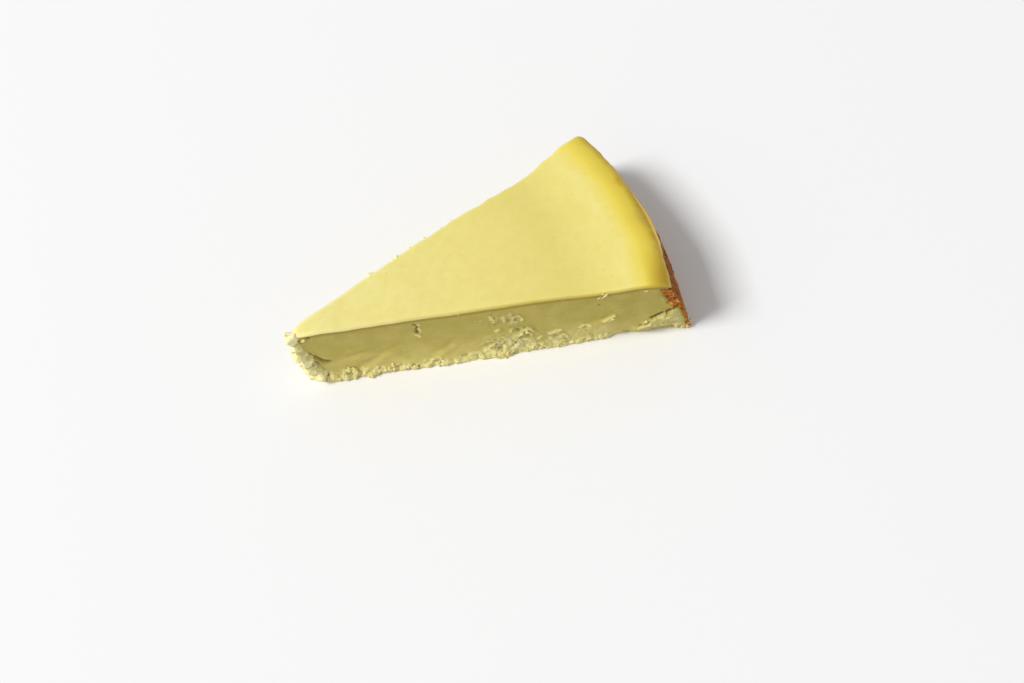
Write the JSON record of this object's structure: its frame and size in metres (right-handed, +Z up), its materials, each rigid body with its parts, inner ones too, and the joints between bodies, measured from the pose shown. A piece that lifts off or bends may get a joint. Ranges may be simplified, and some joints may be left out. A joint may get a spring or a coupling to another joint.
{
  "type": "matcha cheesecake slice",
  "caption": "Wedge of baked matcha cheesecake with a smooth yellow top, browned rim wall, knife-cut sides and a crumbly tip and foot; it lies on its flat base as served.",
  "frame": {"origin": "centre of the bounding box's base, on the flat underside", "axes": "+X runs along the slice from its tip to the browned rim, +Y from the front cut to the back cut, +Z up"},
  "size_m": [0.1292, 0.0724, 0.0279],
  "materials": {
    "baked_matcha_curd": "satin yellow-green baked curd"
  },
  "bodies": {
    "root": {"cheesecake_slice": "baked_matcha_curd"}
  },
  "joints": []
}
